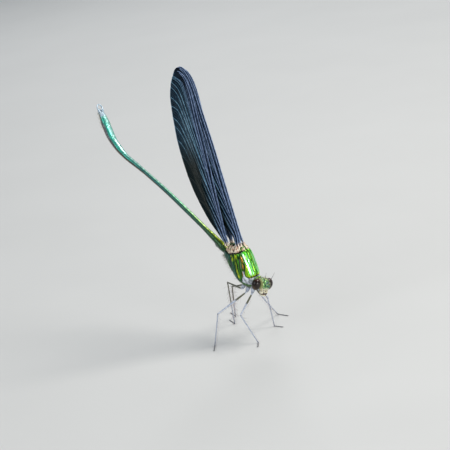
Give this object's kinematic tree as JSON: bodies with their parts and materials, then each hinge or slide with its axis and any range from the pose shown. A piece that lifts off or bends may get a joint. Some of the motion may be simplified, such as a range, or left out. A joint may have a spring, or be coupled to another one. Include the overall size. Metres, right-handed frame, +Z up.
{
  "type": "damselfly",
  "caption": "Life-size still model of a broad-winged damselfly, standing on its legs with dark wings closed over its back.",
  "frame": {"origin": "the centre of the animal's outline seen from above, on the floor that its feet stand on", "axes": "+Z up, +X towards the head, +Y towards the animal's left"},
  "size_m": [0.0448, 0.0222, 0.0609],
  "materials": {
    "abdomen_shell": "metallic green horn that turns teal towards the tip",
    "antenna_shell": "dark horn",
    "clasper_shell": "pale blue bloom over dark horn",
    "compound_eye": "glossy facets, dark brown above and paler below",
    "head_shell": "metallic green horn with fine pits and hairs",
    "leg_shell": "dark horn with a silver-blue sheen and long bristles",
    "mouthparts": "cream and pale blue horn",
    "neck_skin": "soft dark skin",
    "thorax_shell": "metallic yellow-green horn with sutures and pale hairs",
    "wing_membrane": "smoky near-black membrane with steel-blue veins"
  },
  "bodies": {
    "root": {"abdomen_01": "abdomen_shell", "abdomen_02": "abdomen_shell", "abdomen_03": "abdomen_shell", "abdomen_04": "abdomen_shell", "abdomen_05": "abdomen_shell", "abdomen_06": "abdomen_shell", "abdomen_07": "abdomen_shell", "abdomen_08": "abdomen_shell", "abdomen_09": "abdomen_shell", "abdomen_10": "abdomen_shell", "antenna_left": "antenna_shell", "antenna_right": "antenna_shell", "cercus_left": "clasper_shell", "cercus_right": "clasper_shell", "eye_left": "compound_eye", "eye_right": "compound_eye", "forewing_left": "wing_membrane", "forewing_right": "wing_membrane", "head": "head_shell", "hindwing_left": "wing_membrane", "hindwing_right": "wing_membrane", "labium": "mouthparts", "labrum": "mouthparts", "leg_front_left_coxa": "leg_shell", "leg_front_left_femur": "leg_shell", "leg_front_left_tarsus": "leg_shell", "leg_front_left_tibia": "leg_shell", "leg_front_right_coxa": "leg_shell", "leg_front_right_femur": "leg_shell", "leg_front_right_tarsus": "leg_shell", "leg_front_right_tibia": "leg_shell", "leg_hind_left_coxa": "leg_shell", "leg_hind_left_femur": "leg_shell", "leg_hind_left_tarsus": "leg_shell", "leg_hind_left_tibia": "leg_shell", "leg_hind_right_coxa": "leg_shell", "leg_hind_right_femur": "leg_shell", "leg_hind_right_tarsus": "leg_shell", "leg_hind_right_tibia": "leg_shell", "leg_middle_left_coxa": "leg_shell", "leg_middle_left_femur": "leg_shell", "leg_middle_left_tarsus": "leg_shell", "leg_middle_left_tibia": "leg_shell", "leg_middle_right_coxa": "leg_shell", "leg_middle_right_femur": "leg_shell", "leg_middle_right_tarsus": "leg_shell", "leg_middle_right_tibia": "leg_shell", "lower_clasper_left": "clasper_shell", "lower_clasper_right": "clasper_shell", "mandible_left": "mouthparts", "mandible_right": "mouthparts", "neck": "neck_skin", "prothorax": "thorax_shell", "synthorax": "thorax_shell"}
  },
  "joints": []
}
